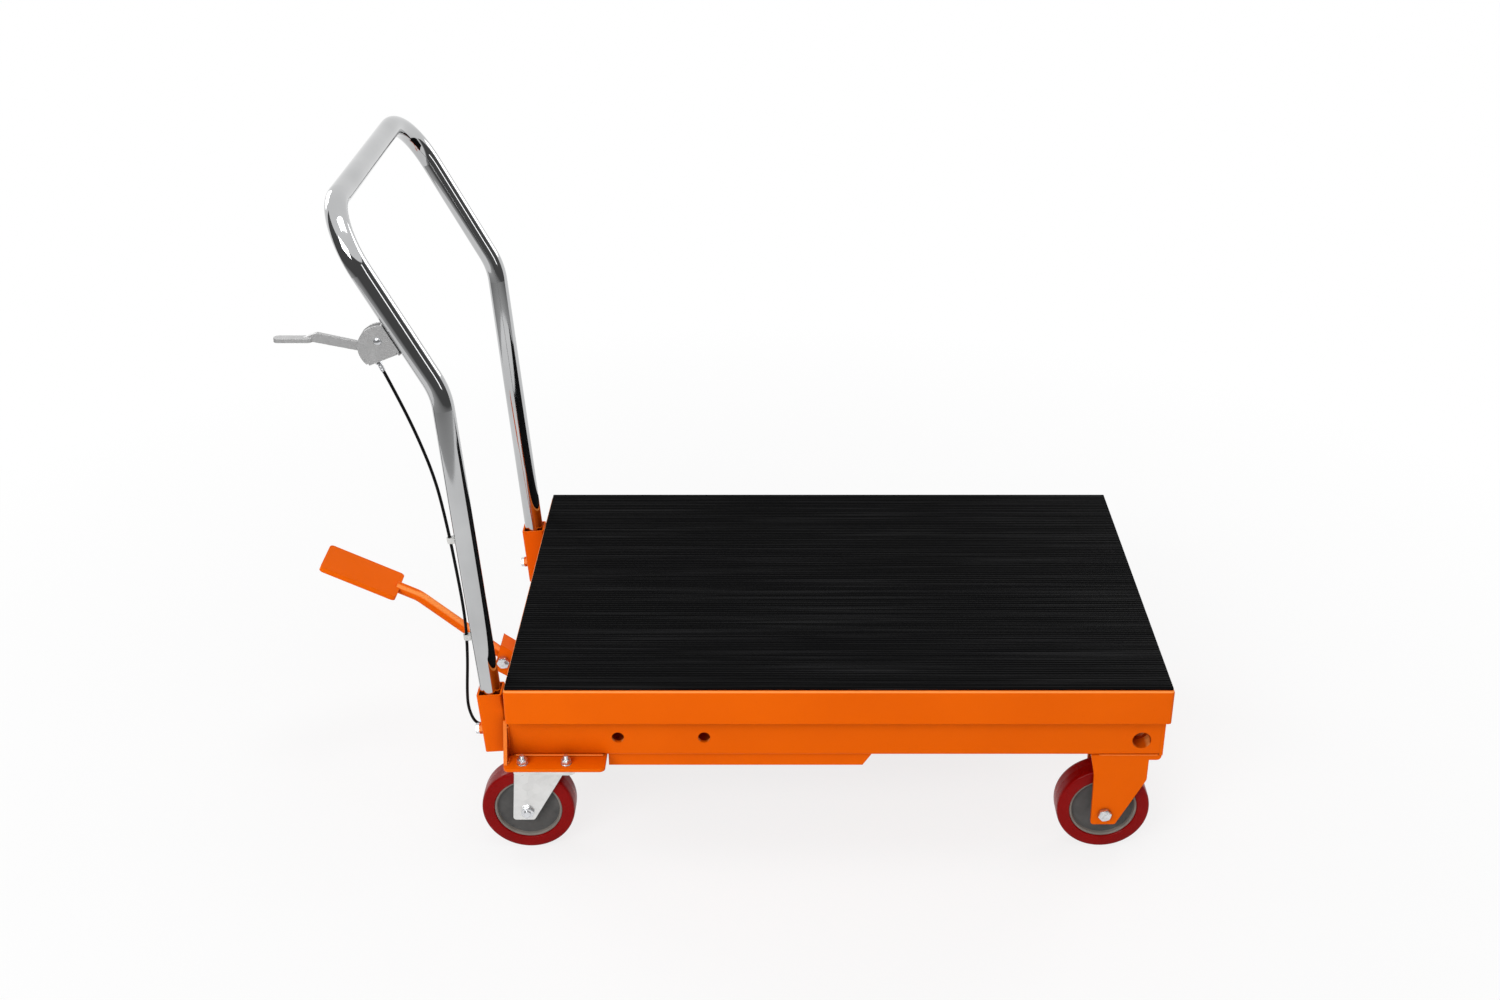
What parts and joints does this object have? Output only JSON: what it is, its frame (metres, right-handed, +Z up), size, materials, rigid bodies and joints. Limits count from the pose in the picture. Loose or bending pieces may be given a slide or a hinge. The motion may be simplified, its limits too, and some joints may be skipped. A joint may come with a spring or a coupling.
{
  "type": "scissor lift table cart",
  "caption": "Scissor lift table cart: a rubber-topped platform on crossed arms, raised by a foot pump, with a bent push handle, release lever, swivel and rigid casters.",
  "frame": {"origin": "on the floor, below the middle of the whole object's length and width", "axes": "+X to the front, away from the push handle; +Y to the left; +Z up"},
  "size_m": [0.9333, 0.462, 0.732],
  "materials": {
    "orange_paint": "gloss powder coat",
    "black_rubber": "matt, ribbed",
    "chrome_tube": "polished chrome plate",
    "zinc_sheet": "bright zinc plate",
    "zinc_fasteners": "bright zinc plate",
    "bright_steel": "turned and ground",
    "pump_paint": "satin black paint",
    "red_tread": "gloss polyurethane",
    "hub_plastic": "moulded",
    "cable_black": "satin",
    "tie_plastic": "satin"
  },
  "bodies": {
    "base": {"right_rail": "orange_paint", "left_rail": "orange_paint", "rear_crossmember": "orange_paint", "front_crossmember": "orange_paint", "caster_brackets": "orange_paint", "rail_stiffeners": "orange_paint", "front_forks": "orange_paint", "handle_sockets": "orange_paint", "handle_clamp_bolts": "zinc_fasteners", "push_handle": "chrome_tube", "lever_bracket": "zinc_sheet", "lever_pivot": "zinc_fasteners", "cable_adjuster": "zinc_fasteners", "cable_sheath": "cable_black", "cable_ties": "tie_plastic", "cable_grommet": "cable_black", "caster_bolts": "zinc_fasteners", "caster_plates": "zinc_sheet", "front_axles": "zinc_fasteners", "base_pivot_pins": "bright_steel", "rest_pads": "black_rubber", "pump_cradle": "orange_paint", "pump_body": "pump_paint", "ram_cylinder": "pump_paint", "pedal_pivot_pin": "bright_steel"},
    "outer_scissor": {"outer_arms": "orange_paint", "outer_cross_tubes": "orange_paint", "lift_crank": "orange_paint", "outer_arm_pins": "bright_steel"},
    "inner_scissor": {"inner_arms": "orange_paint", "inner_cross_tubes": "orange_paint", "lower_roller_pins": "bright_steel"},
    "platform": {"deck_tray": "orange_paint", "rubber_mat": "black_rubber", "deck_tracks": "orange_paint", "deck_pivot_brackets": "orange_paint"},
    "ram": {"ram_rod": "bright_steel", "ram_pin": "bright_steel"},
    "lower_right_roller": {"lower_right_roller": "bright_steel"},
    "lower_left_roller": {"lower_left_roller": "bright_steel"},
    "upper_right_roller": {"upper_right_roller": "bright_steel"},
    "upper_left_roller": {"upper_left_roller": "bright_steel"},
    "right_caster": {"right_caster_fork": "zinc_sheet", "right_caster_axle": "zinc_fasteners"},
    "left_caster": {"left_caster_fork": "zinc_sheet", "left_caster_axle": "zinc_fasteners"},
    "rear_right_wheel": {"rear_right_hub": "hub_plastic", "rear_right_tread": "red_tread"},
    "rear_left_wheel": {"rear_left_hub": "hub_plastic", "rear_left_tread": "red_tread"},
    "front_right_wheel": {"front_right_hub": "hub_plastic", "front_right_tread": "red_tread"},
    "front_left_wheel": {"front_left_hub": "hub_plastic", "front_left_tread": "red_tread"},
    "pedal": {"pedal_arm": "orange_paint", "foot_pedal": "orange_paint", "pedal_bolt": "zinc_fasteners"},
    "plunger": {"pump_plunger": "bright_steel"},
    "release_lever": {"release_lever": "zinc_sheet"},
    "valve_lever": {"valve_lever": "bright_steel"}
  },
  "joints": [
    {"name": "lift", "type": "hinge", "parent": "base", "child": "outer_scissor", "pos_m": [0.441, 0, 0.1473], "axis": [0, 1, 0], "range_deg": [0, 56]},
    {"name": "scissor_centre", "type": "hinge", "parent": "outer_scissor", "child": "inner_scissor", "pos_m": [0.127, 0, 0.174], "axis": [0, 1, 0], "range_deg": [-112.5, 0.5]},
    {"name": "deck_level", "type": "hinge", "parent": "inner_scissor", "child": "platform", "pos_m": [0.441, 0, 0.2007], "axis": [0, 1, 0], "range_deg": [-0.5, 56.5]},
    {"name": "ram_slide", "type": "slide", "parent": "base", "child": "ram", "axis": [0.9863, 0, 0.165], "range_m": [-0.0005, 0.046]},
    {"name": "lower_right_roll", "type": "hinge", "parent": "inner_scissor", "child": "lower_right_roller", "pos_m": [-0.187, -0.184, 0.1473], "axis": [0, 1, 0], "continuous": true},
    {"name": "lower_left_roll", "type": "hinge", "parent": "inner_scissor", "child": "lower_left_roller", "pos_m": [-0.187, 0.184, 0.1473], "axis": [0, 1, 0], "continuous": true},
    {"name": "upper_right_roll", "type": "hinge", "parent": "outer_scissor", "child": "upper_right_roller", "pos_m": [-0.187, -0.184, 0.2007], "axis": [0, 1, 0], "continuous": true},
    {"name": "upper_left_roll", "type": "hinge", "parent": "outer_scissor", "child": "upper_left_roller", "pos_m": [-0.187, 0.184, 0.2007], "axis": [0, 1, 0], "continuous": true},
    {"name": "right_swivel", "type": "hinge", "parent": "base", "child": "right_caster", "pos_m": [-0.196, -0.184, 0.107], "axis": [0, 0, 1], "continuous": true},
    {"name": "left_swivel", "type": "hinge", "parent": "base", "child": "left_caster", "pos_m": [-0.196, 0.184, 0.107], "axis": [0, 0, 1], "continuous": true},
    {"name": "rear_right_roll", "type": "hinge", "parent": "right_caster", "child": "rear_right_wheel", "pos_m": [-0.221, -0.184, 0.051], "axis": [0, 1, 0], "continuous": true},
    {"name": "rear_left_roll", "type": "hinge", "parent": "left_caster", "child": "rear_left_wheel", "pos_m": [-0.221, 0.184, 0.051], "axis": [0, 1, 0], "continuous": true},
    {"name": "front_right_roll", "type": "hinge", "parent": "base", "child": "front_right_wheel", "pos_m": [0.409, -0.183, 0.051], "axis": [0, 1, 0], "continuous": true},
    {"name": "front_left_roll", "type": "hinge", "parent": "base", "child": "front_left_wheel", "pos_m": [0.409, 0.183, 0.051], "axis": [0, 1, 0], "continuous": true},
    {"name": "pedal", "type": "hinge", "parent": "base", "child": "pedal", "pos_m": [-0.222, 0, 0.094], "axis": [0, -1, 0], "range_deg": [0, 28], "stiffness_Nm_per_rad": 5, "springref_deg": -40.11},
    {"name": "plunger", "type": "slide", "parent": "base", "child": "plunger", "axis": [0, 0, -1], "range_m": [-0.0001, 0.0104]},
    {"name": "release_lever", "type": "hinge", "parent": "base", "child": "release_lever", "pos_m": [-0.33108, -0.185, 0.59795], "axis": [0, 1, 0], "range_deg": [0, 20], "stiffness_Nm_per_rad": 0.3, "springref_deg": -28.65},
    {"name": "valve_lever", "type": "hinge", "parent": "base", "child": "valve_lever", "pos_m": [-0.1845, 0, 0.118], "axis": [0, 0, 1], "range_deg": [-0.5, 25.5]}
  ],
  "couplings": [
    {"joint": "scissor_centre", "follows": "lift", "ratio": -2},
    {"joint": "deck_level", "follows": "lift", "ratio": 1},
    {"joint": "ram_slide", "follows": "lift", "m_per_rad": 0.0461},
    {"joint": "plunger", "follows": "pedal", "m_per_rad": 0.0209},
    {"joint": "valve_lever", "follows": "release_lever", "ratio": 1.25}
  ]
}
